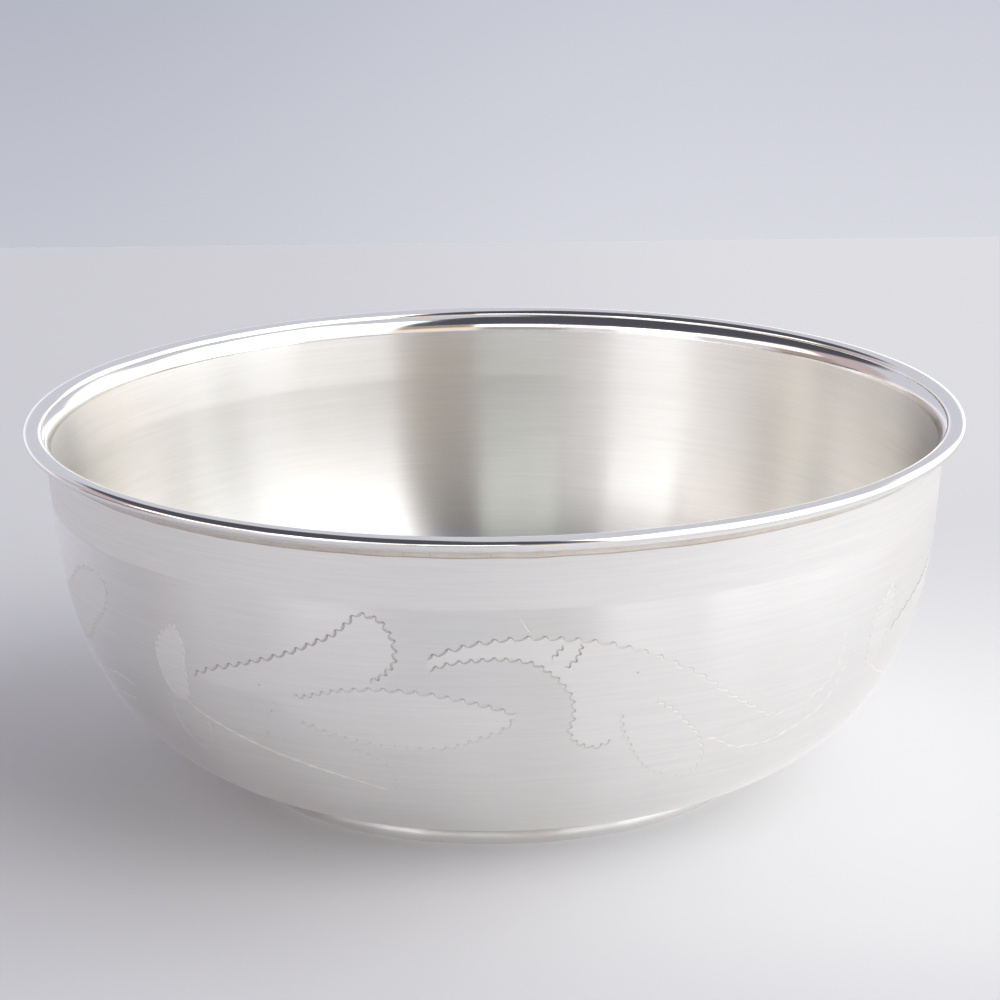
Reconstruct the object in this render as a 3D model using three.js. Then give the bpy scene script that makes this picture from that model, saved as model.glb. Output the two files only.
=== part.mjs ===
import * as THREE from "three";

// A footed silver bowl, in millimetres. +Z is up and the origin is the centre of the foot's underside.
// The bowl is one spun sheet. Its top edge is everted and let into a heavy rim wire, and a ring foot
// is soldered under its flat base. Every piece is a turned ring or dish round the Z axis.

// Driving sizes.
const RIM_RADIUS = 60; // outside of the rim wire
const HEIGHT = 47.2; // underside of the foot to the top of the rim wire
const SHEET = 0.9; // thickness of the spun sheet
const WIRE_WIDTH = 2.4; // rim wire, across its section
const WIRE_DEPTH = 1.76; // rim wire, top to bottom
const SEAT_LOW_ANGLE = -125; // where the sheet's edge meets the wire outside, in degrees round its section
const SEAT_HIGH_ANGLE = 178; // the same, inside the bowl
const NECK_INSET = 2.6; // neck's top, in from the outside of the rim
const NECK_DROP = 2.9; // neck's top, down from the top of the rim
const CREASE_INSET = 3.31; // the burnished crease, in from the outside of the rim
const CREASE_DROP = 9.3; // the crease, down from the top of the rim
const SIDE_LEAN = 2.6; // lean of the side just under the crease, in degrees from upright
const FOOT_HEIGHT = 2.3; // foot ring, floor to the flat base it carries
const FOOT_RADIUS = 32; // foot ring, outer edge on the floor
const FOOT_WIDTH = 2; // foot ring, width of its underside
const FOOT_TAPER = 0.7; // how far the ring's outer top edge lies inside its outer bottom edge
const FOOT_BULGE = 0.55; // swell of the ring's outer face
const FOOT_LEAN = 0.3; // lean of the ring's inner face
const KNUCKLE_TURN = 18; // bend from the flat base into the side, in degrees
const KNUCKLE_RADIUS = 12; // radius of that bend
const LOW_PULL = 16; // how far the side keeps the bend's direction above the foot
const HIGH_PULL = 16.5; // how far the side keeps its upright direction below the crease
const FOOT_FILLET = 0.6; // solder in the inner corner of the foot
const TUCK_ANGLE = -87; // where the rim's solder runs out under the wire, in degrees round its section
const FILLET_HOLLOW = 0.12; // hollow of a solder fillet's face, as a share of its length

const AROUND = 72; // steps round the axis, alike for every piece so that neighbours meet face to face

const point = (radius, height) => new THREE.Vector2(radius, height);
const turned = (degrees) =>
  point(Math.cos(degrees * THREE.MathUtils.DEG2RAD), Math.sin(degrees * THREE.MathUtils.DEG2RAD));

// The points of a curve at even steps of its length, both ends included.
function along(curve, steps) {
  return curve.getSpacedPoints(steps);
}

// The meeting point of two lines, each through a point and along a direction.
function crossing(a, alongA, b, alongB) {
  const gap = b.clone().sub(a);
  const reach = gap.cross(alongB) / alongA.cross(alongB);
  return a.clone().addScaledVector(alongA, reach);
}

// A shallow arc from one point to another. A positive swell bows it to the right of its direction.
function bowed(from, to, swell, steps) {
  const chord = to.clone().sub(from);
  const right = point(chord.y, -chord.x).normalize();
  const points = [];
  for (let i = 0; i <= steps; i += 1) {
    const t = i / steps;
    points.push(from.clone().addScaledVector(chord, t).addScaledVector(right, swell * 4 * t * (1 - t)));
  }
  return points;
}

// The line that lies one thickness to the left of an open profile, mitred at its corners.
function insideOf(profile, thickness) {
  return profile.map((here, i) => {
    const before = profile[Math.max(i - 1, 0)];
    const after = profile[Math.min(i + 1, profile.length - 1)];
    const a = i > 0 ? here.clone().sub(before).normalize() : after.clone().sub(here).normalize();
    const b = i < profile.length - 1 ? after.clone().sub(here).normalize() : a;
    const left = point(-a.y - b.y, a.x + b.x).normalize();
    return here.clone().addScaledVector(left, thickness / left.dot(point(-a.y, a.x)));
  });
}

// The ellipse of the rim wire's section, from one angle to another.
const wireCentre = point(RIM_RADIUS - WIRE_WIDTH / 2, HEIGHT - WIRE_DEPTH / 2);
function wireArc(fromAngle, toAngle, steps) {
  const points = [];
  for (let i = 0; i <= steps; i += 1) {
    const direction = turned(fromAngle + ((toAngle - fromAngle) * i) / steps);
    points.push(
      wireCentre.clone().add(point((direction.x * WIRE_WIDTH) / 2, (direction.y * WIRE_DEPTH) / 2)),
    );
  }
  return points;
}

// The seat is the chord that the sheet's edge cuts off the wire's section.
const wireUnderside = wireArc(SEAT_LOW_ANGLE, TUCK_ANGLE, 3);
const wireOutside = [
  ...wireArc(TUCK_ANGLE, 0, 5),
  ...wireArc(0, 90, 4).slice(1),
  ...wireArc(90, SEAT_HIGH_ANGLE, 4).slice(1),
];
const seatOutside = wireUnderside[0];
const seatInside = wireOutside[wireOutside.length - 1];

// The side of the bowl, from the flat base up to the crease and on to the neck's top.
const footTop = point(FOOT_RADIUS - FOOT_TAPER, FOOT_HEIGHT);
const crease = point(RIM_RADIUS - CREASE_INSET, HEIGHT - CREASE_DROP);
const neckTop = point(RIM_RADIUS - NECK_INSET, HEIGHT - NECK_DROP);
const neckDirection = neckTop.clone().sub(crease).normalize();

function sideProfile() {
  const knuckle = [];
  for (let i = 0; i <= 2; i += 1) {
    const bend = turned((KNUCKLE_TURN * i) / 2 - 90).multiplyScalar(KNUCKLE_RADIUS);
    knuckle.push(footTop.clone().add(bend).add(point(0, KNUCKLE_RADIUS)));
  }
  const low = knuckle[2];
  const side = new THREE.CubicBezierCurve(
    low,
    low.clone().addScaledVector(turned(KNUCKLE_TURN), LOW_PULL),
    crease.clone().addScaledVector(turned(90 - SIDE_LEAN), -HIGH_PULL),
    crease,
  );
  return [...knuckle, ...along(side, 14).slice(1), ...bowed(crease, neckTop, 0, 3).slice(1)];
}

// The everted lip: each face leaves the neck upright and reaches the seat square to it.
const lipDirection = point(seatInside.y - seatOutside.y, seatOutside.x - seatInside.x).normalize();
function lipCurve(start, seat) {
  const corner = crossing(start, neckDirection, seat, lipDirection);
  return along(new THREE.QuadraticBezierCurve(start, corner, seat), 4);
}
const lipOutside = lipCurve(neckTop, seatOutside);

// Turns a profile of (radius, height) points round the Z axis.
function turnedPiece(name, profile, colour, roughness) {
  const geometry = new THREE.LatheGeometry(profile, AROUND);
  geometry.rotateX(Math.PI / 2);
  const material = new THREE.MeshStandardMaterial({ color: colour, roughness, metalness: 1 });
  const mesh = new THREE.Mesh(geometry, material);
  mesh.name = name;
  return mesh;
}

// The spun sheet: flat base, round side, crease, leaning neck and everted lip, one thickness all over.
function bowlShell() {
  const outside = [point(0, FOOT_HEIGHT), ...sideProfile()];
  const inside = insideOf(outside, SHEET);
  const lipInside = lipCurve(inside[inside.length - 1], seatInside);
  const profile = [...outside, ...lipOutside.slice(1), ...lipInside.reverse(), ...inside.reverse().slice(1)];
  return turnedPiece("bowl_shell", profile, 0xd9d7d4, 0.3);
}

// The rim wire: an oval wire with a flat cut in it where the sheet's edge is let in.
function rimWire() {
  const profile = [...wireUnderside, ...wireOutside.slice(1), seatOutside];
  return turnedPiece("rim_wire", profile, 0xe0dfde, 0.12);
}

// The solder that fills the corner between the neck, the everted lip and the wire's underside.
function rimSolder() {
  const tuck = wireUnderside[wireUnderside.length - 1];
  const face = bowed(neckTop, tuck, -FILLET_HOLLOW * neckTop.distanceTo(tuck), 3);
  const back = [...lipOutside.slice(1), ...wireUnderside.slice(1)];
  return turnedPiece("rim_solder", [...face, ...back.reverse().slice(1), neckTop], 0xb9ab9a, 0.5);
}

// The foot: a ring of drawn strip with a swelled outer face and a flat underside.
const footInnerBottom = point(FOOT_RADIUS - FOOT_WIDTH, 0);
const footInnerTop = point(footInnerBottom.x - FOOT_LEAN, FOOT_HEIGHT);
const filletLow = footInnerTop.clone().lerp(footInnerBottom, FOOT_FILLET / FOOT_HEIGHT);

function footRing() {
  const outer = bowed(point(FOOT_RADIUS, 0), footTop, FOOT_BULGE, 8);
  const profile = [footInnerBottom, ...outer, footInnerTop, filletLow, footInnerBottom];
  return turnedPiece("foot_ring", profile, 0xd3d1ce, 0.28);
}

// The solder in the corner between the foot's inner face and the flat base.
function footSolder() {
  const inward = point(footInnerTop.x - FOOT_FILLET, FOOT_HEIGHT);
  const face = bowed(inward, filletLow, -FILLET_HOLLOW * inward.distanceTo(filletLow), 3);
  return turnedPiece("foot_solder", [...face, footInnerTop, inward], 0xa9a29a, 0.5);
}

const bowl = new THREE.Group();
bowl.name = "footed_bowl";
bowl.add(bowlShell(), rimWire(), rimSolder(), footRing(), footSolder());

export default bowl;
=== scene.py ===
import math
import random

import bpy
import numpy as np
from mathutils import Matrix, Vector
from mathutils.geometry import delaunay_2d_cdt
from mathutils.kdtree import KDTree


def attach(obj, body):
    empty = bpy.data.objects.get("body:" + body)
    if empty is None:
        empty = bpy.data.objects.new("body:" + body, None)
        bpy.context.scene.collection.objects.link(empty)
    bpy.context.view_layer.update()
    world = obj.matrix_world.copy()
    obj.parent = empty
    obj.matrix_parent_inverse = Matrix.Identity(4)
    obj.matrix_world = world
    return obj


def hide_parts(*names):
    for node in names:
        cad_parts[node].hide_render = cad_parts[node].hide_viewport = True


# A footed silver bowl with a band of engraved leaves, on a pale studio floor.
# Lengths below are in millimetres and angles in degrees, and meshes are written in metres.

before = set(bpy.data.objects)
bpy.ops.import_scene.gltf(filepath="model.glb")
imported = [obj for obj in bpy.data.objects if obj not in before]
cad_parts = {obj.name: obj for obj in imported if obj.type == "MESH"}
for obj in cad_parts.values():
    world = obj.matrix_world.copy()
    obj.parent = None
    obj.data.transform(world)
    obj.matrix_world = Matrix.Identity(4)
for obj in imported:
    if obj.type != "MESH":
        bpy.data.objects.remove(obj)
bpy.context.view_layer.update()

# Sizes of the bowl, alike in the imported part.
RIM_RADIUS = 60.0
HEIGHT = 47.2
SHEET = 0.9
WIRE_WIDTH = 2.4
WIRE_DEPTH = 1.76
SEAT_LOW_ANGLE = -125.0
SEAT_HIGH_ANGLE = 178.0
NECK = (57.4, 44.3)
CREASE = (56.69, 37.9)
SIDE_LEAN = 2.6
FOOT_HEIGHT = 2.3
FOOT_RADIUS = 32.0
FOOT_WIDTH = 2.0
FOOT_TAPER = 0.7
FOOT_BULGE = 0.55
FOOT_LEAN = 0.3
KNUCKLE_TURN = 18.0
KNUCKLE_RADIUS = 12.0
LOW_PULL = 16.0
HIGH_PULL = 16.5
FOOT_FILLET = 0.6
TUCK_ANGLE = -87.0

COLUMNS = 360  # steps round the axis of the plain zones: one a degree
FINE_STEP = 0.05  # steps of the outer face's line
SIDE_STEPS = 400  # steps of the side's curve before it is evened out
KNUCKLE_STEPS = 12
LIP_STEPS = 24
CREASE_BLEND = 0.2  # how softly the crease is burnished: the spread of its turning normals


def vec(x, y):
    return np.array([x, y], float)


def turned(degrees):
    return vec(math.cos(math.radians(degrees)), math.sin(math.radians(degrees)))


def bezier(points, steps):
    """Points of a Bezier curve through its control polygon, both ends included."""
    t = np.linspace(0, 1, steps + 1)[:, None]
    rows = [np.repeat(np.array(p, float)[None], steps + 1, 0) for p in points]
    while len(rows) > 1:
        rows = [a + (b - a) * t for a, b in zip(rows, rows[1:])]
    return rows[0]


def crossing(a, along_a, b, along_b):
    gap = b - a
    reach = (gap[0] * along_b[1] - gap[1] * along_b[0]) / (along_a[0] * along_b[1] - along_a[1] * along_b[0])
    return a + along_a * reach


def lengths(line):
    return np.concatenate([[0.0], np.cumsum(np.hypot(*np.diff(line, axis=0).T))])


def resampled(line, step):
    """The same line at even steps of its length, no longer than step."""
    s = lengths(line)
    t = np.linspace(0, s[-1], max(1, math.ceil(s[-1] / step)) + 1)
    return np.stack([np.interp(t, s, line[:, 0]), np.interp(t, s, line[:, 1])], -1)


def normals(line):
    """Unit normals to the right of an open line, averaged at its points."""
    d = np.diff(line, axis=0)
    d /= np.hypot(*d.T)[:, None]
    d = np.vstack([d[:1], d[:-1] + d[1:], d[-1:]])
    d /= np.hypot(*d.T)[:, None]
    return np.stack([d[:, 1], -d[:, 0]], -1)


foot_top = vec(FOOT_RADIUS - FOOT_TAPER, FOOT_HEIGHT)
crease = vec(*CREASE)
neck = vec(*NECK)
neck_way = (neck - crease) / np.hypot(*(neck - crease))
wire_centre = vec(RIM_RADIUS - WIRE_WIDTH / 2, HEIGHT - WIRE_DEPTH / 2)


def on_wire(degrees):
    return wire_centre + turned(degrees) * vec(WIRE_WIDTH / 2, WIRE_DEPTH / 2)


seat_low = on_wire(SEAT_LOW_ANGLE)
seat_high = on_wire(SEAT_HIGH_ANGLE)
seat_way = vec(seat_high[1] - seat_low[1], seat_low[0] - seat_high[0])


def side_line():
    """The outer face of the side, from the foot's top up to the crease."""
    turns = np.linspace(-90, KNUCKLE_TURN - 90, KNUCKLE_STEPS + 1)
    knuckle = np.array([foot_top + vec(0, KNUCKLE_RADIUS) + turned(a) * KNUCKLE_RADIUS for a in turns])
    low = knuckle[-1]
    low_handle = low + turned(KNUCKLE_TURN) * LOW_PULL
    high_handle = crease - turned(90 - SIDE_LEAN) * HIGH_PULL
    curve = bezier([low, low_handle, high_handle, crease], SIDE_STEPS)
    return np.vstack([knuckle, curve[1:]])


def lip_line(start, seat):
    return bezier([start, crossing(start, neck_way, seat, seat_way), seat], LIP_STEPS)


side = resampled(side_line(), FINE_STEP)
neck_face = resampled(np.array([crease, neck]), FINE_STEP)
face = np.vstack([side, neck_face[1:]])
face_s = lengths(face)
crease_s = lengths(side)[-1]
face_n = normals(face)
# The crease is burnished over about half a millimetre, so its normals turn over that length.
spread = CREASE_BLEND / FINE_STEP
margin = round(3 * spread)
soft = np.exp(-0.5 * (np.arange(-margin, margin + 1) / spread) ** 2)
soft /= soft.sum()
padded = np.pad(face_n, ((margin, margin), (0, 0)), mode="edge")
face_n = np.stack([np.convolve(padded[:, k], soft, mode="valid") for k in (0, 1)], -1)
face_n /= np.hypot(*face_n.T)[:, None]


def on_face(s):
    """Radius, height and outward normal of the outer face at a length s above the foot's top."""
    s = np.asarray(s, float)
    return (
        np.interp(s, face_s, face[:, 0]),
        np.interp(s, face_s, face[:, 1]),
        np.interp(s, face_s, face_n[:, 0]),
        np.interp(s, face_s, face_n[:, 1]),
    )


def make_mesh(name, points, faces, vertex_normals, material, cut=None):
    """A smooth mesh in metres from points in millimetres, with its own normals."""
    mesh = bpy.data.meshes.new(name)
    mesh.from_pydata((np.asarray(points) * 0.001).tolist(), [], [tuple(f) for f in faces])
    mesh.validate()
    mesh.shade_smooth()
    if cut is not None:
        layer = mesh.attributes.new("cut", "FLOAT", "POINT")
        layer.data.foreach_set("value", np.asarray(cut, np.float32))
    if vertex_normals is not None:
        mesh.normals_split_custom_set_from_vertices(np.asarray(vertex_normals, float).tolist())
    mesh.materials.append(material)
    piece = bpy.data.objects.new(name, mesh)
    bpy.context.scene.collection.objects.link(piece)
    return piece


def turned_rows(line, line_normals):
    """Points and normals of a line of (radius, height) turned round the axis, row by row."""
    a = np.radians(np.arange(COLUMNS) * 360.0 / COLUMNS)
    ring = np.stack([np.sin(a), -np.cos(a)], -1)
    points = []
    facing = []
    for (r, z), (nr, nz) in zip(line, line_normals):
        points.append(np.column_stack([ring * r, np.full(COLUMNS, z)]))
        facing.append(np.column_stack([ring * nr, np.full(COLUMNS, nz)]))
    return np.vstack(points), np.vstack(facing)


def ring_faces(first, second):
    """Quads between two rows of point numbers, the second one further along the profile."""
    return np.stack([first, np.roll(first, -1), np.roll(second, -1), second], -1).tolist()


# Each engraved line is a row of teeth cut with a rocking graver: a broad stroke that rises gently, and
# a short steep way back. A line is given by the pitch of its teeth at its start, middle and end, half
# their height, half the width of a stroke, how dark its cuts are at start, middle and end (below zero
# where they are bright), and its course: points of (degrees to the right of the front, millimetres up
# the face from the foot's top). The darkness is patina in the cuts together with painted shade, and the
# values below zero are painted glints that lighten the base colour where a cut would catch the light.
LINES = {
    "leaf_tall": ((2.0, 1.4, 1.1), 0.26, 0.24, (0.75, 1.0, 0.75), [
        (-41.5, 35.3), (-38, 36.9), (-34, 38.2), (-30, 39.5), (-26, 41.0), (-22, 42.9), (-20, 43.9),
        (-18, 45.5), (-17.2, 46.4), (-16.3, 46.9), (-15.3, 46.8), (-14.2, 46.4), (-13.3, 45.7),
        (-12.7, 44.7), (-12.2, 43.5), (-12.1, 42), (-12.4, 40.7), (-13.2, 39.8), (-14.3, 38.9),
        (-15.5, 38.3),
    ]),
    "leaf_long_top": ((1.0, 1.8, 1.5), 0.24, 0.23, (0.6, 0.6, 0.6), [
        (-26, 35.7), (-25.3, 35.3), (-24.5, 35.4), (-21.5, 36.3), (-18.5, 37), (-14.5, 37.4),
        (-11, 37.3), (-7.5, 37), (-4, 36.3), (-1, 35.5), (2.3, 34.4),
    ]),
    "leaf_long_low": ((1.4, 1.6, 1.4), 0.22, 0.25, (0.45, 0.2, 0.4), [
        (-26, 31.7), (-23.7, 31.2), (-21.2, 30.3), (-17.5, 29.6), (-14, 29.2), (-9.5, 29.2),
        (-6.5, 29.5), (-3.5, 30.5), (-1.3, 31.4), (0.7, 32.4), (1.4, 33.2), (2.2, 34.3),
    ]),
    "leaf_long_tail": ((1.3, 1.3, 1.3), 0.2, 0.2, (0.35, 0.25, 0.2), [
        (-19.2, 28.5), (-17.5, 27.8), (-15.5, 26.7), (-14.5, 25.2), (-14.1, 23), (-14.9, 21.2),
    ]),
    "stem_left": ((1.4, 2.1, 2.3), 0.08, 0.24, (-1.0, -1.0, -1.0), [
        (-44.1, 31.2), (-41.8, 29.8), (-39.2, 28.7), (-35, 27.2), (-30.1, 25.7), (-25.2, 24.4),
        (-21, 23.2), (-17.7, 22.2), (-15, 21.2),
    ]),
    "leaf_small": ((1.2, 1.1, 1.2), 0.2, 0.15, (0.2, 0.3, 0.2), [
        (-44.1, 31.2), (-43, 33), (-42.3, 37.3), (-42, 39), (-42.6, 40.9), (-43.4, 41.8), (-44.5, 41),
        (-46, 40), (-47.5, 37.6), (-47.5, 35.4), (-47, 33), (-46, 31.3),
    ]),
    "leaf_small_low": ((1.2, 1.3, 1.2), 0.18, 0.14, (0.2, 0.15, 0.2), [
        (-46.5, 31), (-47.5, 29), (-47.4, 26), (-46.3, 24), (-44.5, 22.8), (-42.8, 24.5), (-41.5, 27),
        (-41, 28.5),
    ]),
    "leaf_far": ((1.6, 1.3, 1.6), 0.22, 0.16, (0.35, 0.4, 0.35), [
        (-75, 39), (-70, 41.1), (-66, 43.5), (-62, 44.5), (-58.5, 44.2), (-57.5, 43.3), (-57.4, 42),
        (-59, 39.8), (-62.5, 37.4), (-67, 34.1), (-70, 33), (-74, 32),
    ]),
    "stem_far": ((1.6, 1.8, 1.6), 0.12, 0.14, (-0.3, -0.3, -0.3), [
        (-70, 29), (-65, 29.9), (-60, 30.5), (-56, 30),
    ]),
    "stem_far_low": ((1.6, 1.8, 1.6), 0.12, 0.14, (-0.3, -0.3, -0.3), [
        (-65, 26.5), (-61.5, 27), (-58, 27.5),
    ]),
    "wing_top": ((1.7, 2.1, 1.7), 0.26, 0.22, (1.0, 0.3, -0.8), [
        (-8.5, 41.7), (-5.5, 42.9), (-2.3, 43.8), (1.7, 44.3), (6, 44.3), (10.3, 43.8), (14.5, 42.8),
        (18.4, 41.4), (22.3, 39.4), (25.8, 37.3), (29.7, 34.5), (33.6, 32), (36.6, 30.1), (39.6, 29.5),
        (43.5, 29.8), (46.2, 31), (48.7, 33.2), (49.2, 36.5), (48.8, 38.5),
    ]),
    "wing_inner": ((1.4, 1.2, 1.1), 0.24, 0.18, (0.95, 0.7, 0.55), [
        (-8.3, 40.2), (-5.5, 41.2), (-2.8, 41.6), (0.1, 41.8), (3.4, 41.4), (5.7, 40.3), (7.8, 38.3),
        (9, 36.2), (9.3, 33.8), (8.9, 31.8), (9.6, 30.2), (11, 29.3), (12.6, 29), (14.5, 29.9),
    ]),
    "vein_short": ((0.9, 0.9, 0.9), 0.24, 0.14, (1.0, 1.0, 1.0), [
        (8, 43.4), (6.4, 41.5),
    ]),
    "vein_long": ((0.9, 0.9, 0.9), 0.24, 0.14, (1.0, 1.0, 1.0), [
        (10.1, 43.5), (9.8, 42.2), (9.2, 41.2), (8, 40.2),
    ]),
    "loop": ((1.2, 1.3, 1.2), 0.24, 0.2, (0.4, 0.12, 0.18), [
        (15.3, 33.9), (15.7, 31.3), (16.6, 29.5), (17.8, 27.2), (19.5, 24.9), (22, 23.1), (25, 21.9),
        (26.3, 21.5), (27.6, 22.5), (28.1, 25), (26.5, 28.8), (24.5, 31), (22.5, 33), (20.8, 34.2),
        (19.6, 35),
    ]),
    "stem_right": ((2.1, 2.2, 1.6), 0.1, 0.2, (-1.0, -1.0, -1.0), [
        (28, 28.2), (30, 27.4), (32.8, 25.7), (35, 25.1), (39.3, 24.9), (42, 25.5), (45.6, 26.7),
        (48.7, 28.6), (50.5, 32), (50.8, 34),
    ]),
    "scratch": ((9.0, 9.0, 9.0), 0.0, 0.1, (-0.5, -0.5, -0.5), [
        (2.7, 47.0), (3.9, 45.2), (4.7, 44.8),
    ]),
}
# Places inside the leaves are frosted. Each is bounded by lines above, some of them backwards (-) or
# only their first points (:count), and by points between them where the leaf runs out with no line.
LEAVES = {
    "tall": ["leaf_tall", (-16.5, 37.3), (-21.5, 36.3), (-25, 35.3), (-31, 35.2), (-36, 34.8)],
    "long": ["leaf_long_top", "-leaf_long_low", (-27.5, 33.7)],
    "wing": [
        "wing_top:13", (33, 28.6), (29.5, 27.3), (28.1, 25), (27.6, 22.5), (26.3, 21.5), (25, 21.9),
        (22, 23.1), (19.5, 24.9), (17.8, 27.2), (16.6, 29.5), (15.7, 31.3), (15.3, 33.9),
        "-wing_inner",
    ],
    "small": ["leaf_small"],
    "small_low": ["leaf_small_low"],
    "far": ["leaf_far"],
}
# The front's lines come again on the back, and three of them fill each gap between.
REPEATS = [(0.0, sorted(LINES)), (180.0, sorted(set(LINES) - {"scratch"}))]
REPEATS += [(turn, ["leaf_tall", "leaf_small", "stem_left"]) for turn in (103.0, 283.0)]
FROSTED = [(turn, ["tall", "long", "wing", "small", "far"]) for turn in (0.0, 180.0)]
FROSTED += [(turn, ["tall", "small"]) for turn in (103.0, 283.0)]
SEAM = 98  # where the flat layout of the engraved zone is closed, clear of every line
FLAT = math.radians(1) * 52.0  # width of one degree in that layout
LOW_S, HIGH_S = 19.5, 47.6  # the engraved zone, up the face
NARROW_CUT = 0.1  # half the width of a cut at the ends of a stroke and on the way back
CUT_DEPTH = 0.06
GUARD = 0.12  # how far beyond a cut the plain sheet starts again
STROKE_SHARE = 0.68  # the share of a tooth's pitch that its stroke takes
DARK_FILL = 0.5  # how dark the floor of a stroke is, as a share of its edge: patina with painted shade
PAINTED_GLINT_FILL = 0.4  # how far that floor is painted bright, a painted glint, where the line isn't dark
COURSE_STEP = 0.01  # steps of a line's course before its teeth are cut
CUT_STEP = 0.04  # steps of the finished line
RUN_IN = 0.5  # the length over which a line starts, and over which it ends
PITCH_SPREAD = (0.85, 1.15)  # how uneven the teeth are, as shares of their pitch
REACH_SPREAD = (0.8, 1.15)  # the same for their height
PEAK_FROM, PEAK_OVER = 0.68, 0.2  # the part of a stroke, up to its tip, that is cut deeper and dark right across, as painted shade
STROKE_DEPTH, BACK_DEPTH = 0.75, 0.6  # shares of the full depth, before the tip and on the way back
PIT_RADIUS, PIT_DEPTH, PIT_TONE = 0.2, 0.04, 0.5
MESH_EVERY = 3  # every third step of a line gets mesh points across its cut
SAME_POINT = 0.05  # mesh points nearer than this are one
PLAIN_SPACING = 1.5  # between mesh points on the plain sheet
PLAIN_CLEAR = 0.55  # how far those points keep from the middle of a cut
SEAM_STEPS = 19
BURNISHED_ABOVE = 44.4  # the lip is burnished with the rim
PITS = [(-30.6, 36.1), (-29.5, 32.6), (-31.1, 29.0), (17.0, 39.0), (120.0, 35.0), (-140.0, 31.0)]


def smooth_course(points, step):
    """A Catmull-Rom line through points, at even steps."""
    p = np.array(points, float)
    if len(p) == 2:
        return resampled(p, step)
    p = np.vstack([2 * p[0] - p[1], p, 2 * p[-1] - p[-2]])
    t = np.linspace(0, 1, 13)[:-1, None]
    out = []
    for a, b, c, d in zip(p, p[1:], p[2:], p[3:]):
        square = 2 * a - 5 * b + 4 * c - d
        cube = 3 * b - a - 3 * c + d
        out.append(0.5 * (2 * b + (c - a) * t + square * t**2 + cube * t**3))
    return resampled(np.vstack(out + [p[-2:-1]]), step)


def zigzag(name, turn):
    """A row of teeth in the flat layout: middle, half widths, depths, tones across, and upper side."""
    pitches, reach, broad, darks, points = LINES[name]
    rng = random.Random(f"{name} {turn}")
    course = smooth_course([(u * FLAT, s) for u, s in points], COURSE_STEP)
    s = lengths(course)
    left = -normals(course)
    corners = [0.0]
    while corners[-1] < s[-1]:
        pitch = np.interp(corners[-1] / s[-1], (0, 0.5, 1), pitches)
        part = STROKE_SHARE if len(corners) % 2 else 1 - STROKE_SHARE
        corners.append(corners[-1] + part * pitch * rng.uniform(*PITCH_SPREAD))
    heights = [(1 if k % 2 else -1) * reach * rng.uniform(*REACH_SPREAD) for k in range(len(corners))]
    corners = np.array(corners)
    heights = np.array(heights)
    k = np.clip(np.searchsorted(corners, s, side="right") - 1, 0, len(corners) - 2)
    stroke = k % 2 == 0
    t = np.clip((s - corners[k]) / (corners[k + 1] - corners[k]), 0, 1)
    eased = np.where(stroke, 0.35 * t + 0.65 * t**2.2, 0.5 - 0.5 * np.cos(math.pi * t))
    line = course + left * (heights[k] + (heights[k + 1] - heights[k]) * eased)[:, None]
    lens = np.sin(math.pi * np.clip(0.06 + 0.88 * t, 0, 1)) ** 0.7
    wide = np.where(stroke, NARROW_CUT + (broad - NARROW_CUT) * lens, NARROW_CUT)
    dark = np.interp(s / s[-1], (0, 0.5, 1), darks)
    # Tones of a cut: dark is patina with painted shade, darkest at a stroke's steep tip and on its lower
    # side; below zero is a painted glint.
    peak = np.clip((t - PEAK_FROM) / PEAK_OVER, 0, 1) * stroke + (~stroke) * np.clip(1.2 - 1.4 * t, 0, 1)
    bright = np.minimum(dark, 0) * stroke * lens
    dark = np.maximum(dark, 0)
    low = dark * 0.95 + bright
    fill = dark * DARK_FILL - PAINTED_GLINT_FILL * (1 - dark) * (dark > 0)
    middle = fill + (dark - fill) * peak + bright
    high = fill * 0.8 + (dark - fill * 0.8) * peak + bright
    reached = lengths(line)
    keep = np.unique(np.searchsorted(reached, np.arange(0, reached[-1], CUT_STEP)))
    fade = np.clip(np.minimum(reached, reached[-1] - reached) / RUN_IN, 0, 1)
    line = line + (turn * FLAT, 0)
    tones = np.stack([low, middle, high], -1) * fade[:, None]
    depth = CUT_DEPTH * np.where(stroke, STROKE_DEPTH + (1 - STROKE_DEPTH) * peak, BACK_DEPTH) * fade
    return line[keep], (wide * (0.5 + 0.5 * fade))[keep], depth[keep], tones[keep], left[keep]


def leaf_outline(name):
    outline = []
    for entry in LEAVES[name]:
        if isinstance(entry, tuple):
            outline.append(entry)
            continue
        line, _, count = entry.lstrip("-").partition(":")
        course = LINES[line][-1][: int(count) if count else None]
        outline += course[::-1] if entry.startswith("-") else course
    p = np.array(outline, float)
    return np.vstack([smooth_course(p * (FLAT, 1), 0.3) / (FLAT, 1), p[:1]])


def inside_outline(u, s, outline):
    """Which points lie inside a closed outline, by counting its crossings."""
    inside = np.zeros(len(u), bool)
    for (u0, s0), (u1, s1) in zip(outline, np.roll(outline, -1, 0)):
        if s0 == s1:
            continue
        crosses = (s0 > s) != (s1 > s)
        inside ^= crosses & (u < (u1 - u0) * (s - s0) / (s1 - s0) + u0)
    return inside


def frosted(u, s):
    """Which points of the engraved zone, by degrees and height up the face, lie inside a leaf."""
    found = np.zeros(len(u), bool)
    for turn, names in FROSTED:
        for name in names:
            outline = leaf_outline(name) + (turn, 0)
            for whole in (-720, -360, 0, 360):
                found |= inside_outline(u, s, outline + (whole, 0))
    return found


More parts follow.
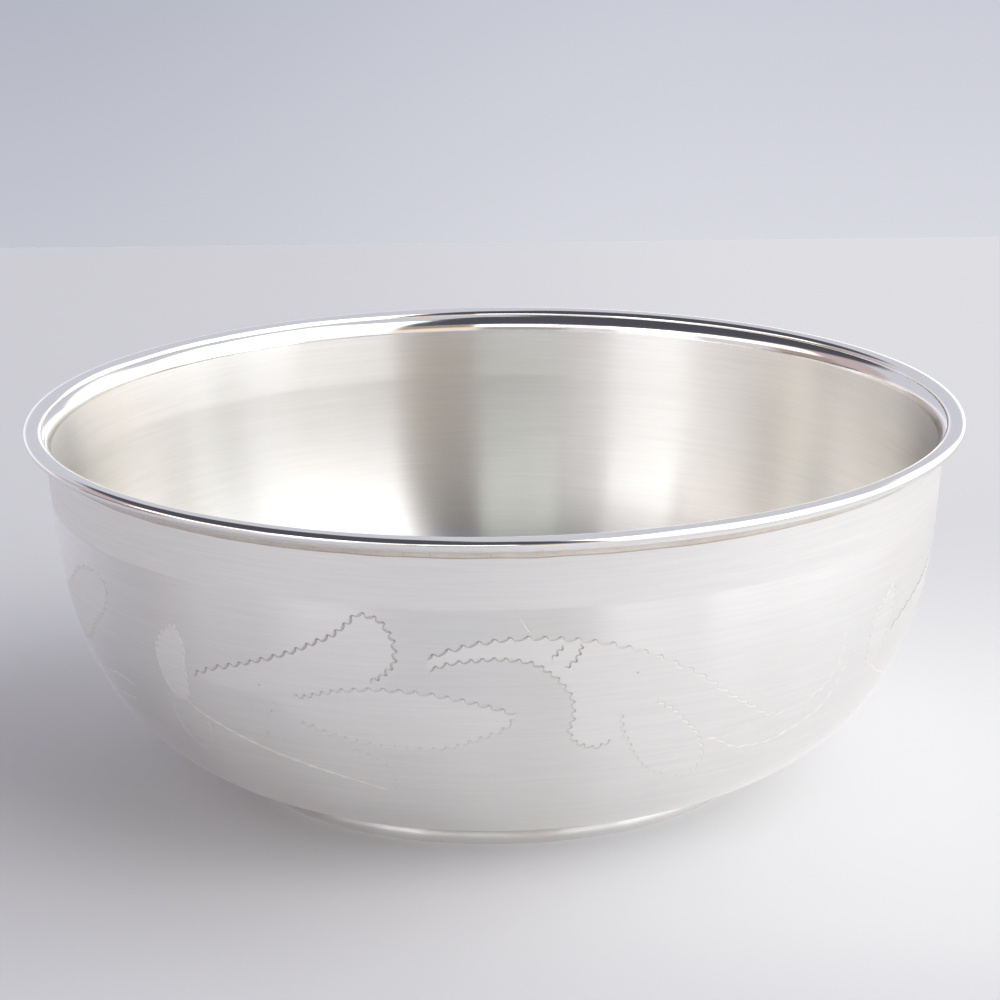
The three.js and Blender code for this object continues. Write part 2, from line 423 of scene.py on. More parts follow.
def engraved_zone(first_column, low_row, high_row):
    """The engraved zone, fitted to the rows below and above it.

    Returns its points, normals, tones, triangles, and which triangles are frosted.
    """
    parts = [zigzag(name, turn) for turn, names in REPEATS for name in names]
    for u, s in PITS:
        pit = (vec(u * FLAT, s), PIT_RADIUS, PIT_DEPTH, np.full(3, PIT_TONE), vec(0, 1))
        parts.append(tuple(np.array([v]) for v in pit))
    left_edge = (SEAM - 360) * FLAT
    right_edge = SEAM * FLAT
    middles = np.vstack([p[0] for p in parts])
    middles[:, 0] = (middles[:, 0] - left_edge) % (360 * FLAT) + left_edge
    wide, deep, tones, upper = (np.concatenate([p[k] for p in parts]) for k in (1, 2, 3, 4))
    tree = KDTree(len(middles))
    for i, m in enumerate(middles):
        tree.insert((m[0], m[1], 0.0), i)
    tree.balance()

    wanted = []
    start = 0
    for line, w, *_ in parts:
        here = middles[start : start + len(line)]
        start += len(line)
        if len(line) == 1:
            a = np.radians(np.arange(0, 360, 60))
            for reach in (0.5, 1.0):
                wanted.append(here + w[0] * reach * np.stack([np.cos(a), np.sin(a)], -1))
            wanted.append(here)
            continue
        side_way = normals(here)
        pick = np.arange(0, len(here), MESH_EVERY)
        wanted.append(here[pick])
        for reach in (-1, -0.5, 0.5, 1):
            wanted.append(here[pick] + side_way[pick] * (w[pick] * reach)[:, None])
        pick = pick[::2]
        for way in (-1, 1):
            wanted.append(here[pick] + side_way[pick] * (way * (w[pick] + GUARD))[:, None])
    wanted = np.vstack(wanted)

    kept = []
    taken = set()
    for x, y in wanted:
        key = (round(x / SAME_POINT), round(y / SAME_POINT))
        if key not in taken:
            taken.add(key)
            kept.append((x, y))
    rows = np.arange(LOW_S + 1.0, HIGH_S - 0.6, PLAIN_SPACING * 0.87)
    for k, y in enumerate(rows):
        shift = PLAIN_SPACING * 0.5 * (k % 2)
        for x in np.arange(left_edge + 0.9 + shift, right_edge - 0.9, PLAIN_SPACING):
            if tree.find((x, y, 0.0))[2] > PLAIN_CLEAR:
                kept.append((x, y))
    degrees = np.arange(SEAM - 360, SEAM + 1)
    low = [(d * FLAT, LOW_S) for d in degrees]
    high = [(d * FLAT, HIGH_S) for d in degrees]
    seam_s = np.linspace(LOW_S, HIGH_S, SEAM_STEPS + 1)[1:-1]
    left = [(left_edge, y) for y in seam_s]
    right = [(right_edge, y) for y in seam_s]
    layout = low + high + left + right + kept
    verts, _, faces, origins, _, _ = delaunay_2d_cdt([Vector(p) for p in layout], [], [], 0, 1e-5)

    # Numbers of the layout's points in the whole mesh: the borders are points of the rows beside
    # them, and the seam's right side is its left side.
    number = {}
    n = len(degrees)
    for i, d in enumerate(degrees):
        number[i] = low_row[d % 360]
        number[n + i] = high_row[d % 360]
    fresh = []
    for i in range(2 * n, len(layout)):
        if 2 * n + len(left) <= i < 2 * n + 2 * len(left):
            number[i] = number[i - len(left)]
        else:
            number[i] = first_column + len(fresh)
            fresh.append(layout[i])
    found = [number[o[0]] for o in origins]
    corners = np.array([tuple(v) for v in verts])
    triangles = []
    middle = []
    for f in faces:
        numbers = tuple(found[v] for v in f)
        if len(set(numbers)) == 3:
            triangles.append(numbers)
            middle.append(corners[list(f)].mean(0))
    middle = np.array(middle)
    in_leaf = frosted(middle[:, 0] / FLAT, middle[:, 1])

    flat = np.array(fresh)
    near = [tree.find((x, y, 0.0)) for x, y in flat]
    index = np.array([h[1] for h in near])
    distance = np.array([h[2] for h in near])
    w, d = wide[index], deep[index]
    inside = distance < w
    phase = np.pi * np.minimum(distance / w, 1)
    height = np.where(inside, -0.5 * d * (1 + np.cos(phase)), 0.0)
    slope = np.where(inside, 0.5 * d * np.pi / w * np.sin(phase), 0.0)
    way = (flat - middles[index]) / np.maximum(distance, 1e-6)[:, None]
    r, z, nr, nz = on_face(flat[:, 1])
    u = np.radians(flat[:, 0] / FLAT)
    out = np.stack([nr * np.sin(u), -nr * np.cos(u), nz], -1)
    round_way = np.stack([np.cos(u), np.sin(u), 0 * u], -1)
    up_way = np.cross(out, round_way)
    spot = np.stack([r * np.sin(u), -r * np.cos(u), z], -1) + out * height[:, None]
    facing = out - round_way * (slope * way[:, 0])[:, None] - up_way * (slope * way[:, 1])[:, None]
    facing /= np.linalg.norm(facing, axis=1)[:, None]
    # One side of each cut is painted darker than the other, as painted shade.
    across = np.clip((way * upper[index]).sum(1) * distance / w, -1, 1)
    low, middle, high = tones[index].T
    tone = np.where(across < 0, middle + (middle - low) * 2 * np.maximum(across, -0.5), 0.0)
    tone = np.where(across < 0, tone, middle + (high - middle) * 2 * np.minimum(across, 0.5))
    share = np.where(inside, tone * np.clip(2 - 2 * distance / w, 0, 1), 0.0)
    return spot, facing, share, triangles, in_leaf


BASE_RINGS = (6, 12, 18, 24, 29)  # radii of the mesh rows under the base
FLOOR_RINGS = (27, 22, 17, 12, 7, 3)  # the same for the floor inside
LOW_ROWS = 24  # mesh rows from the foot's top to the engraved zone
INNER_ROWS = 70  # mesh rows inside, below the crease


def bowl_shell(ground, frosting, burnished):
    """The spun sheet with its engraved leaves, as one closed mesh."""
    low_s = np.linspace(0, LOW_S, LOW_ROWS)
    # Rows lie close together at the crease, and about a millimetre apart on the neck.
    neck_s = [HIGH_S, 47.74, 47.84, crease_s, 48.0, 48.1, 48.24, 48.6]
    neck_s += [49.4, 50.4, 51.4, 52.4, 53.4, face_s[-1]]
    base = [(r, FOOT_HEIGHT, 0, -1) for r in BASE_RINGS]
    low = list(zip(*on_face(low_s)))
    high = list(zip(*on_face(neck_s)))
    lip_out = lip_line(neck, seat_low)[::2]
    inner_s = np.concatenate([
        face_s[-1] - np.array([0, 1, 2, 3, 4, 5, 5.8]),
        [48.3, 48.1, crease_s, 47.75, 47.5, 47.0],
        np.linspace(46, 0, INNER_ROWS),
    ])
    r, z, nr, nz = on_face(inner_s)
    inner_line = np.stack([r - nr * SHEET, z - nz * SHEET], -1)
    lip_in = lip_line(inner_line[0], seat_high)[::-2]
    lip_in_n = normals(lip_in)
    lip_in_n[-1] = (-nr[0], -nz[0])
    lip_out_n = normals(lip_out)
    lip_out_n[0] = (high[-1][2], high[-1][3])
    inside = [(a, b, -c, -d) for (a, b), c, d in zip(inner_line[1:], nr[1:], nz[1:])]
    floor_z = FOOT_HEIGHT + SHEET
    inside += [(r, floor_z, 0, 1) for r in FLOOR_RINGS]

    under = base + low
    over = high + [(*p, *m) for p, m in zip(lip_out[1:], lip_out_n[1:])]
    over += [(*p, *m) for p, m in zip(lip_in, lip_in_n)] + inside
    points, facing, faces, finish = [], [], [], []

    def add_rows(rows):
        start = sum(len(p) for p in points)
        a, b = turned_rows([q[:2] for q in rows], [q[2:] for q in rows])
        points.append(a)
        facing.append(b)
        numbers = [np.arange(COLUMNS) + start + k * COLUMNS for k in range(len(rows))]
        for k, (first, second) in enumerate(zip(numbers, numbers[1:])):
            faces.extend(ring_faces(first, second))
            height = 0.5 * (rows[k][1] + rows[k + 1][1])
            kind = 0
            if height > BURNISHED_ABOVE:
                kind = 2
            elif height > CREASE[1] and max(rows[k][0], rows[k + 1][0]) > CREASE[0] - 0.05:
                kind = 1
            finish.extend([kind] * len(first))
        return numbers

    under_rows = add_rows(under)
    over_rows = add_rows(over)
    cut = [np.zeros(sum(len(p) for p in points))]
    spot, way, share, triangles, in_leaf = engraved_zone(len(cut[0]), under_rows[-1], over_rows[0])
    points.append(spot)
    facing.append(way)
    cut.append(share)
    faces.extend(triangles)
    finish.extend(in_leaf.astype(int).tolist())
    count = sum(len(p) for p in points)
    points.append(np.array([[0, 0, FOOT_HEIGHT], [0, 0, floor_z]]))
    facing.append(np.array([[0, 0, -1.0], [0, 0, 1.0]]))
    cut.append(np.zeros(2))
    first, last = under_rows[0], over_rows[-1]
    faces.extend((count, first[(j + 1) % COLUMNS], first[j]) for j in range(COLUMNS))
    faces.extend((count + 1, last[j], last[(j + 1) % COLUMNS]) for j in range(COLUMNS))
    finish.extend([0] * (2 * COLUMNS))
    points = np.vstack(points)
    facing = np.vstack(facing)
    piece = make_mesh("engraved_shell", points, faces, facing, ground, np.concatenate(cut))
    piece.data.materials.append(frosting)
    piece.data.materials.append(burnished)
    piece.data.polygons.foreach_set("material_index", finish)
    return piece


def closed_ring(name, section, section_normals, material, wobble=None):
    """A closed section of (radius, height), listed with the metal on its left, turned round the axis."""
    points, facing = turned_rows(section, section_normals)
    if wobble is not None:
        points = wobble(points)
    rows = [np.arange(COLUMNS) + k * COLUMNS for k in range(len(section))]
    faces = []
    for first, second in zip(rows, rows[1:] + rows[:1]):
        faces.extend(ring_faces(first, second))
    return make_mesh(name, points, faces, facing, material)


def ellipse_normal(degrees):
    n = turned(degrees) / vec(WIRE_WIDTH, WIRE_DEPTH)
    return n / np.hypot(*n)


def rim_wire(material):
    """The heavy rim wire, with the flat where the sheet's edge is let in."""
    angles = np.concatenate([
        np.linspace(SEAT_LOW_ANGLE, TUCK_ANGLE, 5)[:-1],
        np.linspace(TUCK_ANGLE, 0, 14)[:-1],
        np.linspace(0, 90, 15)[:-1],
        np.linspace(90, SEAT_HIGH_ANGLE, 13),
    ])
    section = [on_wire(a) for a in angles]
    return closed_ring("polished_rim", section, [ellipse_normal(a) for a in angles], material)


def waves(angle, seed, low, high, count):
    """A sum of waves round the axis, between -1 and 1, from a seed."""
    rng = random.Random(seed)
    total = np.zeros_like(angle)
    weight = 0.0
    for _ in range(count):
        n = rng.randint(low, high)
        size = rng.uniform(0.4, 1.0)
        total += size * np.sin(n * angle + rng.uniform(0, 2 * math.pi))
        weight += size
    return total / weight * 1.6


SOLDER_PITS = 26
# The pits seen at the front: degrees to the right, and how far up the fillet.
FRONT_SOLDER_PITS = ((-37, 0.4), (-29, 0.5), (-17, 0.35), (-4, 0.45), (10, 0.4))
SOLDER_CREEP, CREEP_SPREAD = 0.06, 0.05  # how far the solder runs down the neck, and how unevenly
SOLDER_PIT_DEPTH, SOLDER_PIT_SIZE = 0.07, 0.2


def rim_solder(material):
    """The solder under the rim. Its lower edge creeps down the neck a little unevenly, with small pits."""
    steps = 9
    a = np.radians(np.arange(COLUMNS * 2) * 0.5)
    creep = SOLDER_CREEP + CREEP_SPREAD * np.clip(waves(a, 11, 9, 60, 9), -1, 1)
    tuck = on_wire(TUCK_ANGLE)
    neck_n = normals(np.array([crease, neck]))[0]
    ring = np.stack([np.sin(a), -np.cos(a)], -1)
    points = []
    rng = random.Random(5)
    pits = []
    for _ in range(SOLDER_PITS):
        pits.append((math.radians(rng.uniform(0, 360)), rng.uniform(0.25, 0.7), rng.uniform(0.5, 1.0)))
    pits += [(math.radians(u), up, 1.0) for u, up in FRONT_SOLDER_PITS]
    for k in range(steps + 1):
        t = k / steps
        low = neck - neck_way * creep[:, None] + neck_n * 0.004
        hollow = 0.12 * np.hypot(*(tuck - neck)) * 4 * t * (1 - t)
        chord = (tuck - low) / np.hypot(*(tuck - low).T)[:, None]
        inward = np.stack([-chord[:, 1], chord[:, 0]], -1)
        spot = low + (tuck - low) * t + inward * hollow
        dent = np.zeros(len(a))
        for at, up, size in pits:
            gap = np.hypot((np.mod(a - at + math.pi, 2 * math.pi) - math.pi) * 58, (t - up) * 1.6)
            dent += size * SOLDER_PIT_DEPTH * np.exp(-((gap / SOLDER_PIT_SIZE) ** 2))
        dent += 0.012 * waves(a + 0.3 * t, 23 + k, 40, 160, 8)
        spot = spot + inward * np.clip(dent, -0.02, 0.12)[:, None] * min(1, 3 * t, 3 * (1 - t))
        points.append(np.column_stack([ring * spot[:, :1], spot[:, 1]]))
    back = [lip_line(neck, seat_low)[LIP_STEPS // 2], on_wire(-106)]
    for r, z in reversed(back):
        points.append(np.column_stack([ring * r, np.full(len(a), z)]))
    points = np.vstack(points)
    rows = [np.arange(len(a)) + k * len(a) for k in range(steps + 3)]
    faces = []
    for first, second in zip(rows, rows[1:] + rows[:1]):
        faces.extend(ring_faces(first, second))
    return make_mesh("rim_solder_fillet", points, faces, None, material)


def foot_ring(material):
    """The foot, a bowed ring of strip with its edges just broken."""
    outer_low = vec(FOOT_RADIUS, 0)
    inner_low = vec(FOOT_RADIUS - FOOT_WIDTH, 0)
    inner_top = vec(inner_low[0] - FOOT_LEAN, FOOT_HEIGHT)
    chord = foot_top - outer_low
    right = vec(chord[1], -chord[0]) / np.hypot(*chord)
    t = np.linspace(0, 1, 17)[:, None]
    outer = outer_low + chord * t + right * (FOOT_BULGE * 4 * t * (1 - t))
    outer_n = normals(outer)
    broken = 0.12
    section = [inner_low + vec(broken, 0), outer_low - vec(broken, 0)]
    facing = [vec(0, -1), vec(0.3, -0.95)]
    section += list(outer[1:])
    facing += list(outer_n[1:])
    section += [inner_top, inner_low + vec(-broken * FOOT_LEAN / FOOT_HEIGHT, broken)]
    facing += [vec(-1, 0), vec(-0.9, -0.43)]
    return closed_ring("foot_strip", section, facing, material)


def foot_solder(material):
    """The solder in the inner corner of the foot, with a slightly uneven edge."""
    inner_low = vec(FOOT_RADIUS - FOOT_WIDTH, 0)
    inner_top = vec(inner_low[0] - FOOT_LEAN, FOOT_HEIGHT)
    low = inner_top + (inner_low - inner_top) * (FOOT_FILLET / FOOT_HEIGHT)
    inward = inner_top - vec(FOOT_FILLET, 0)
    face_line = []
    for t in np.linspace(0, 1, 7):
        chord = low - inward
        left = vec(-chord[1], chord[0]) / np.hypot(*chord)
        face_line.append(inward + chord * t + left * (0.12 * np.hypot(*chord) * 4 * t * (1 - t)))
    section = face_line + [inner_top]
    facing = list(normals(np.array(face_line))) + [vec(0, 1)]

    def uneven(points):
        a = np.arctan2(points[:, 0], -points[:, 1])
        shift = 0.09 * waves(a, 31, 7, 50, 9)
        r = np.hypot(points[:, 0], points[:, 1])
        near_edge = np.clip((29.7 - r) / 0.6, 0, 1)
        points[:, :2] *= (1 + shift * near_edge / r)[:, None]
        return points

    return closed_ring("foot_solder_fillet", section, facing, material, uneven)


# Materials. Brush marks run round the axis, so their pattern is read from height and radius, and
# changes only slowly with the direction from the axis.


def new_material(name):
    material = bpy.data.materials.new(name)
    material.use_nodes = True
    nodes = material.node_tree.nodes
    nodes.clear()
    out = nodes.new("ShaderNodeOutputMaterial")
    shader = nodes.new("ShaderNodeBsdfPrincipled")
    material.node_tree.links.new(shader.outputs[0], out.inputs[0])
    return material, shader


class Nodes:
    """Short calls that add the nodes of one material."""

    def __init__(self, material):
        self.tree = material.node_tree

    def put(self, socket, value):
        if isinstance(value, bpy.types.NodeSocket):
            self.tree.links.new(value, socket)
        else:
            socket.default_value = value

    def math(self, operation, a, b=0.0):
        node = self.tree.nodes.new("ShaderNodeMath")
        node.operation = operation
        self.put(node.inputs[0], a)
        self.put(node.inputs[1], b)
        return node.outputs[0]

    def noise(self, vector, scale, detail=2.0, w=None, rough=0.5):
        node = self.tree.nodes.new("ShaderNodeTexNoise")
        node.noise_dimensions = "4D" if w is not None else "3D"
        self.put(node.inputs["Vector"], vector)
        self.put(node.inputs["Scale"], scale)
        self.put(node.inputs["Detail"], detail)
        self.put(node.inputs["Roughness"], rough)
        if w is not None:
            self.put(node.inputs["W"], w)
        return node.outputs[0]

    def combine(self, x, y, z):
        node = self.tree.nodes.new("ShaderNodeCombineXYZ")
        for socket, value in zip(node.inputs, (x, y, z)):
            self.put(socket, value)
        return node.outputs[0]

    def range(self, value, low, high, out_low, out_high, kind="LINEAR"):
        node = self.tree.nodes.new("ShaderNodeMapRange")
        node.interpolation_type = kind
        names = ("Value", "From Min", "From Max", "To Min", "To Max")
        for name, v in zip(names, (value, low, high, out_low, out_high)):
            self.put(node.inputs[name], v)
        return node.outputs[0]

    def mix(self, share, a, b):
        node = self.tree.nodes.new("ShaderNodeMix")
        node.data_type = "RGBA"
        self.put(node.inputs["Factor"], share)
        self.put(node.inputs[6], a)
        self.put(node.inputs[7], b)
        return node.outputs[2]

    def attribute(self, name):
        node = self.tree.nodes.new("ShaderNodeAttribute")
        node.attribute_name = name
        return node.outputs["Fac"]

    def bump(self, height, distance):
        node = self.tree.nodes.new("ShaderNodeBump")
        self.put(node.inputs["Height"], height)
        node.inputs["Strength"].default_value = 1.0
        node.inputs["Distance"].default_value = distance
        return node.outputs[0]

    def around(self):
        """Height, radius, and the two parts of the direction from the axis."""
        place = self.tree.nodes.new("ShaderNodeTexCoord").outputs["Object"]
        split = self.tree.nodes.new("ShaderNodeSeparateXYZ")
        self.put(split.inputs[0], place)
        x, y, z = split.outputs
        radius = self.math("SQRT", self.math("ADD", self.math("MULTIPLY", x, x), self.math("MULTIPLY", y, y)))
        safe = self.math("MAXIMUM", radius, 1e-5)
        return place, z, radius, self.math("DIVIDE", x, safe), self.math("DIVIDE", y, safe)

    def brush_lines(self, around, per_metre, turns, detail=3.0):
        """Noise drawn out round the axis: fine lines per metre across, and slow changes along."""
        _, z, radius, cx, cy = around
        vector = self.combine(
            self.math("MULTIPLY", cx, turns),
            self.math("MULTIPLY", cy, turns),
            self.math("MULTIPLY", z, per_metre),
        )
        return self.noise(vector, 1.0, detail, w=self.math("MULTIPLY", radius, per_metre), rough=0.6)

    def across_brushing(self, shader, amount):
        """Stretches reflections across the brush marks."""
        tangent = self.tree.nodes.new("ShaderNodeTangent")
        tangent.direction_type = "RADIAL"
        tangent.axis = "Z"
        self.put(shader.inputs["Tangent"], tangent.outputs[0])
        shader.inputs["Anisotropic"].default_value = amount
        shader.inputs["Anisotropic Rotation"].default_value = 0.25


SILVER = (0.93, 0.92, 0.90, 1)
# The next colour lightens cuts as a painted glint. The one after darkens cuts as patina with painted shade,
# and solder grain as patina.
PAINTED_GLINT_COLOUR = (1.0, 0.965, 0.91, 1)
PATINA_AND_PAINTED_SHADE = (0.30, 0.26, 0.22, 1)


def satin_silver(name, roughness, stretch, marks):
    """Silver brushed round the axis: its mean roughness, how far reflections are stretched, and its marks."""
    material, shader = new_material(name)
    n = Nodes(material)
    around = n.around()
    fine = n.brush_lines(around, 5200, 3.5)
    lines = n.brush_lines(around, 3300, 5.0)
    broad = n.brush_lines(around, 700, 1.2, 2.0)
    cloud = n.noise(around[0], 55.0, 3.0)
    # The cut attribute paints tones into the base colour: above zero patina with painted shade, below zero a
    # painted glint.
    cut = n.attribute("cut")
    tone = n.range(lines, 0.35, 0.65, 0.7, 1.0)
    silver = n.mix(tone, (0.80, 0.785, 0.76, 1), SILVER)
    dark = n.math("MAXIMUM", cut, 0.0)
    bright = n.math("MAXIMUM", n.math("MULTIPLY", cut, -1.0), 0.0)
    silver = n.mix(bright, silver, PAINTED_GLINT_COLOUR)
    n.put(shader.inputs["Base Color"], n.mix(n.math("MULTIPLY", dark, 0.85), silver, PATINA_AND_PAINTED_SHADE))
    rough = n.range(broad, 0.3, 0.7, roughness - 0.008, roughness + 0.008)
    rough = n.math("ADD", rough, n.range(cloud, 0.35, 0.65, -0.015, 0.02))
    rough = n.math("ADD", rough, n.math("MULTIPLY", bright, 0.45))
    n.put(shader.inputs["Roughness"], rough)
    shader.inputs["Metallic"].default_value = 1.0
    n.put(shader.inputs["Normal"], n.bump(fine, marks))
    n.across_brushing(shader, stretch)
    return material


def polished_silver():
    material, shader = new_material("polished_silver")
    n = Nodes(material)
    around = n.around()
    fine = n.brush_lines(around, 4000, 3.0)
    cloud = n.noise(around[0], 160.0, 4.0)
    dulled = n.range(cloud, 0.35, 0.7, 0.0, 0.25)
    n.put(shader.inputs["Base Color"], n.mix(dulled, SILVER, (0.84, 0.80, 0.74, 1)))
    n.put(shader.inputs["Roughness"], n.range(cloud, 0.3, 0.7, 0.08, 0.13))
    shader.inputs["Metallic"].default_value = 1.0
    n.put(shader.inputs["Normal"], n.bump(fine, 0.8e-6))
    n.across_brushing(shader, 0.2)
    return material


def solder(name):
    material, shader = new_material(name)
    n = Nodes(material)
    around = n.around()
    grain = n.noise(around[0], 2600.0, 4.0)
    cloud = n.noise(around[0], 240.0, 3.0)
    base = n.mix(n.range(cloud, 0.35, 0.65, 0.0, 1.0), (0.88, 0.83, 0.76, 1), (0.78, 0.71, 0.63, 1))
    n.put(shader.inputs["Base Color"], n.mix(n.range(grain, 0.6, 0.78, 0.0, 0.35), base, PATINA_AND_PAINTED_SHADE))
    n.put(shader.inputs["Roughness"], n.range(grain, 0.3, 0.7, 0.32, 0.5))
    shader.inputs["Metallic"].default_value = 1.0
    n.put(shader.inputs["Normal"], n.bump(grain, 1.2e-5))
    return material


satin = satin_silver("satin_silver", roughness=0.30, stretch=1.0, marks=0.5e-6)
frosting = satin_silver("frosted_silver", roughness=0.495, stretch=0.37, marks=0.8e-6)
polished = polished_silver()
rim_joint = solder("rim_solder_metal")
foot_joint = solder("foot_solder_metal")

for piece, node, slot in (
    (bowl_shell(satin, frosting, polished), "bowl_shell", "silver_sheet"),
    (rim_wire(polished), "rim_wire", "silver_wire"),
    (rim_solder(rim_joint), "rim_solder", "silver_solder"),
    (foot_ring(satin), "foot_ring", "silver_strip"),
    (foot_solder(foot_joint), "foot_solder", "silver_solder"),
):
    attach(piece, "root")
    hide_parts(node)


# The camera, as the photograph was taken: it looks at a point on the axis and is then turned a little.
LOOK_AT = (0.0, 0.0, 26.0)
CAMERA_DISTANCE = 500.5
CAMERA_ELEVATION = 16.63
CAMERA_LENS = 139.16
CAMERA_PAN = -0.07
CAMERA_TILT = 1.007
CAMERA_ROLL = -0.66


def swung(first, second, angle):
    """Two directions turned together in their plane, the first one towards the second."""
    c, s = math.cos(angle), math.sin(angle)
    return first * c + second * s, second * c - first * s


def place_camera():
    e = math.radians(CAMERA_ELEVATION)
    back = Vector((0, -math.cos(e), math.sin(e)))
    right = Vector((1, 0, 0))
    down = back.cross(right) * -1
    ahead = -back
    pan, tilt, roll = (math.radians(v) for v in (CAMERA_PAN, CAMERA_TILT, CAMERA_ROLL))
    right, ahead = swung(right, ahead, pan)
    down, ahead = swung(down, ahead, tilt)
    right, down = swung(right, down, -roll)
    data = bpy.data.cameras.new("camera")
    data.lens = CAMERA_LENS
    data.sensor_width = 36.0
    camera = bpy.data.objects.new("camera", data)
    spot = (Vector(LOOK_AT) + back * CAMERA_DISTANCE) * 0.001
    turn = Matrix((right, -down, -ahead)).transposed().to_4x4()
    camera.matrix_world = Matrix.Translation(spot) @ turn
    bpy.context.scene.collection.objects.link(camera)
    bpy.context.scene.camera = camera


place_camera()


# The studio: a pale table under soft light. The light is given by the direction it comes from: the
# bearing, 0 towards the viewer and +90 to the right, and the height over the table, both in degrees.
# The bearings and heights were chosen one by one. The strengths were fitted to the brightness of the
# photograph with another program, and then partly changed by hand.
ROOM = (0.62, 0.63, 0.70)
# name, bearing from and to, height from and to, softness of the edges, light
LIGHTS = (
    ("dark front of the room", -150, 28, 31, 86, 3, (0.08, 0.08, 0.10)),
    ("back wall, low down", 144, 181, -40, 5, 4, (1.90, 1.86, 1.92)),
    ("back wall, low down", -181, -126, -40, 5, 4, (1.00, 0.98, 1.10)),
    ("left wall", -128, -100, 5, 32, 4, (0.54, 0.44, 0.45)),
    ("left wall, dark below", -114, -82, -40, 5, 3, (0.06, 0.06, 0.12)),
    ("left wall, near part", -104, -76, 5, 18, 4, (0.40, 0.30, 0.26)),
    ("shelf on it", -100, -58, 18, 31, 3, (2.00, 1.80, 1.66)),
    ("left table", -82, -58, -40, 18, 4, (0.72, 0.68, 0.72)),
    ("left window", -58, -33, -40, 18, 1.5, (1.14, 1.10, 1.18)),
    ("left window's bright top", -56, -33, 18, 31, 1.5, (2.80, 2.76, 2.70)),
    ("wall beside it", -33, -20, -40, 18, 2, (0.78, 0.72, 0.76)),
    ("wall beside it, higher", -33, -20, 18, 31, 2, (1.45, 1.42, 1.35)),
    ("table's front", -20, 6, -40, 5, 2, (0.45, 0.50, 0.78)),
    ("front wall, low down", -20, 4, 5, 17, 2, (0.38, 0.34, 0.28)),
    ("white panel", -19, 5, 17, 31, 2, (2.12, 2.20, 1.98)),
    ("dark stand's foot", 5, 28, -40, 5, 2, (0.80, 0.92, 1.30)),
    ("dark stand", 4, 28, 5, 17, 2, (1.02, 0.80, 0.56)),
    ("dark stand's top", 5, 28, 17, 31, 2, (0.36, 0.33, 0.26)),
    ("second window's sill", 28, 54, -40, 5, 2, (0.95, 0.95, 1.18)),
    ("second window, low down", 28, 54, 5, 17, 2, (1.32, 1.29, 1.20)),
    ("second window", 28, 54, 17, 32, 1.5, (1.83, 1.80, 1.81)),
    ("second window, upper half", 28, 54, 32, 66, 1.5, (2.15, 2.14, 2.12)),
    ("main window, low down", 54, 126, -40, 5, 2, (2.80, 2.78, 2.80)),
    ("main window", 55, 118, 5, 50, 2, (1.68, 1.67, 1.66)),
    ("main window, left pane", 54, 76, 26, 66, 2, (2.60, 2.58, 2.52)),
    ("main window, brightest", 84, 104, 5, 20, 4, (2.20, 2.20, 2.26)),
    ("main window's top", 76, 112, 50, 68, 3, (1.50, 1.65, 1.85)),
    ("window behind", 114, 148, -40, 32, 5, (1.85, 1.75, 1.70)),
)
FLOOR_END = 330.0  # the table's far edge, in millimetres behind the axis


def studio_light():
    world = bpy.data.worlds.new("studio")
    bpy.context.scene.world = world
    world.use_nodes = True
    n = Nodes(world)
    n.tree.nodes.clear()
    split = n.tree.nodes.new("ShaderNodeSeparateXYZ")
    n.put(split.inputs[0], n.tree.nodes.new("ShaderNodeTexCoord").outputs["Generated"])
    x, y, z = split.outputs
    bearing = n.math("DEGREES", n.math("ARCTAN2", x, n.math("MULTIPLY", y, -1.0)))
    height = n.math("DEGREES", n.math("ARCSINE", z))

    def between(value, low, high, edge):
        rise = n.range(value, low - edge, low + edge, 0.0, 1.0, "SMOOTHSTEP")
        return n.math("MULTIPLY", rise, n.range(value, high - edge, high + edge, 1.0, 0.0, "SMOOTHSTEP"))

    light = (*ROOM, 1)
    for _, left, right, low, high, edge, colour in LIGHTS:
        share = n.math("MULTIPLY", between(bearing, left, right, edge), between(height, low, high, edge))
        light = n.mix(share, light, (*colour, 1))
    # The camera itself sees a backdrop painted with shade and light: darker on the left, lighter on the
    # right, and lighter further below the horizon. The silver reflects the lights.
    path = n.tree.nodes.new("ShaderNodeLightPath")
    side = n.range(x, -0.135, 0.06, 0.0, 1.0, "SMOOTHSTEP")
    rise = n.range(z, -0.143, -0.206, 0.0, 1.0)
    left = n.mix(rise, (0.465, 0.480, 0.555, 1), (0.560, 0.570, 0.640, 1))
    right = n.mix(rise, (0.600, 0.610, 0.685, 1), (0.695, 0.705, 0.765, 1))
    plain = n.mix(side, left, right)
    background = n.tree.nodes.new("ShaderNodeBackground")
    n.put(background.inputs[0], n.mix(path.outputs["Is Camera Ray"], light, plain))
    out = n.tree.nodes.new("ShaderNodeOutputWorld")
    n.put(out.inputs[0], background.outputs[0])


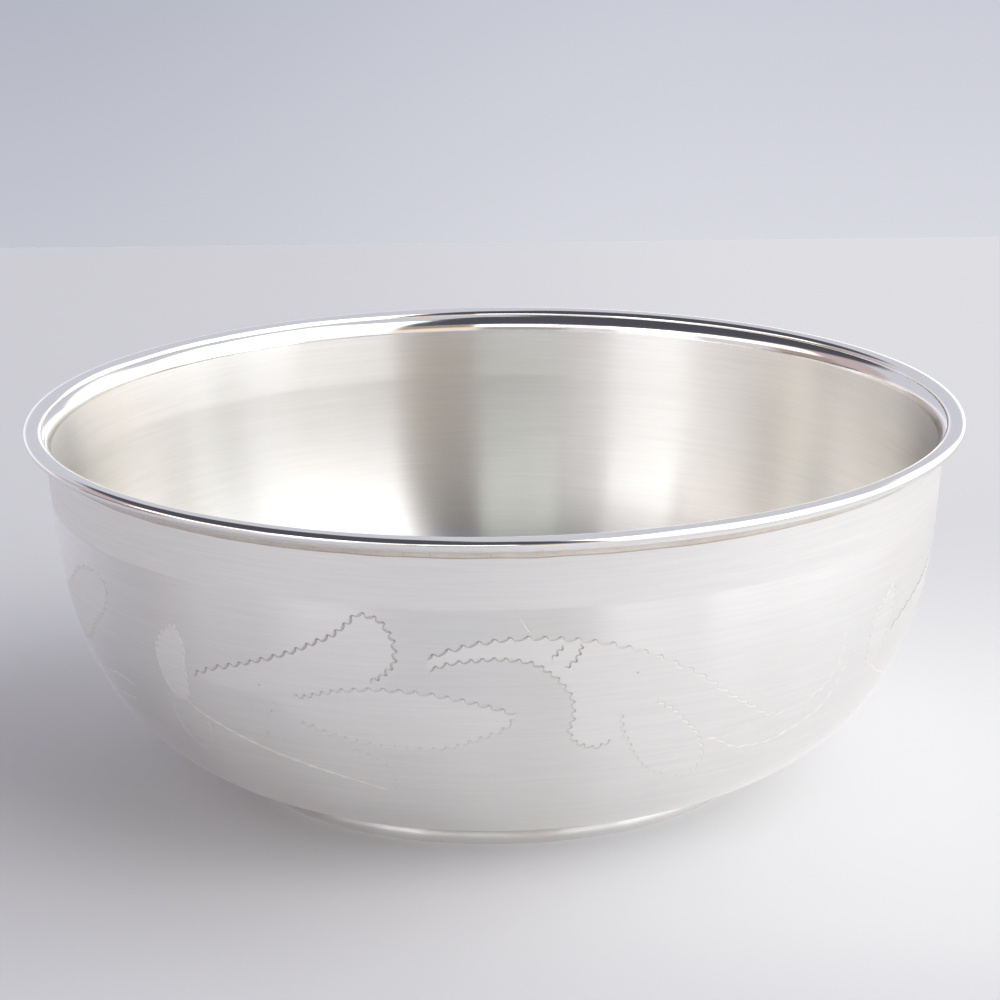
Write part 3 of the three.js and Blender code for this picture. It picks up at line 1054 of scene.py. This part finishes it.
def table():
    """The pale table, its paper painted with shade and light: darker on the left, most of all beside the
    bowl, and lighter on the right. For the camera and in reflections a glow lights its right side, brightest
    beside the bowl, partly painting out the shadows there.
    """
    end = FLOOR_END * 0.001
    mesh = bpy.data.meshes.new("table")
    mesh.from_pydata([(-1.5, -1.5, 0), (1.5, -1.5, 0), (1.5, end, 0), (-1.5, end, 0)], [], [(0, 1, 2, 3)])
    material, shader = new_material("table_paper")
    n = Nodes(material)
    split = n.tree.nodes.new("ShaderNodeSeparateXYZ")
    n.put(split.inputs[0], n.tree.nodes.new("ShaderNodeTexCoord").outputs["Object"])
    # Painted shade and light on the paper: darker on the left, most of all beside the bowl, lighter on the
    # right.
    side = n.range(split.outputs[0], -0.10, 0.06, 0.0, 1.0, "SMOOTHSTEP")
    near = n.range(split.outputs[1], -0.055, -0.085, 0.0, 1.0, "SMOOTHSTEP")
    far = n.range(split.outputs[1], 0.02, 0.12, 0.0, 1.0, "SMOOTHSTEP")
    painted_shade_paper = n.mix(n.math("MAXIMUM", near, far), (0.73, 0.73, 0.77, 1), (0.77, 0.77, 0.81, 1))
    n.put(shader.inputs["Base Color"], n.mix(side, painted_shade_paper, (0.88, 0.88, 0.90, 1)))
    shader.inputs["Roughness"].default_value = 0.9
    shader.inputs["Specular IOR Level"].default_value = 0.0
    # A painted glow, seen by the camera and in reflections, on the right side only: brightest beside the
    # bowl, where it paints out shade.
    left = n.mix(far, n.mix(near, (0.48, 0.48, 0.54, 1), (0.60, 0.60, 0.66, 1)), (0.62, 0.62, 0.69, 1))
    right = n.mix(far, n.mix(near, (0.97, 0.97, 0.98, 1), (0.86, 0.85, 0.89, 1)), (0.76, 0.76, 0.80, 1))
    painted_light_glow = n.tree.nodes.new("ShaderNodeEmission")
    n.put(painted_light_glow.inputs[0], n.mix(side, left, right))
    path = n.tree.nodes.new("ShaderNodeLightPath")
    seen = n.math("MAXIMUM", path.outputs["Is Camera Ray"], path.outputs["Is Glossy Ray"])
    blend = n.tree.nodes.new("ShaderNodeMixShader")
    fill = n.range(split.outputs[0], -0.03, 0.06, 0.0, 0.5, "SMOOTHSTEP")
    n.put(blend.inputs[0], n.math("MULTIPLY", seen, fill))
    n.put(blend.inputs[1], shader.outputs[0])
    n.put(blend.inputs[2], painted_light_glow.outputs[0])
    n.put(material.node_tree.nodes["Material Output"].inputs[0], blend.outputs[0])
    mesh.materials.append(material)
    piece = bpy.data.objects.new("table", mesh)
    bpy.context.scene.collection.objects.link(piece)


studio_light()
table()
bpy.context.scene.view_settings.view_transform = "Standard"
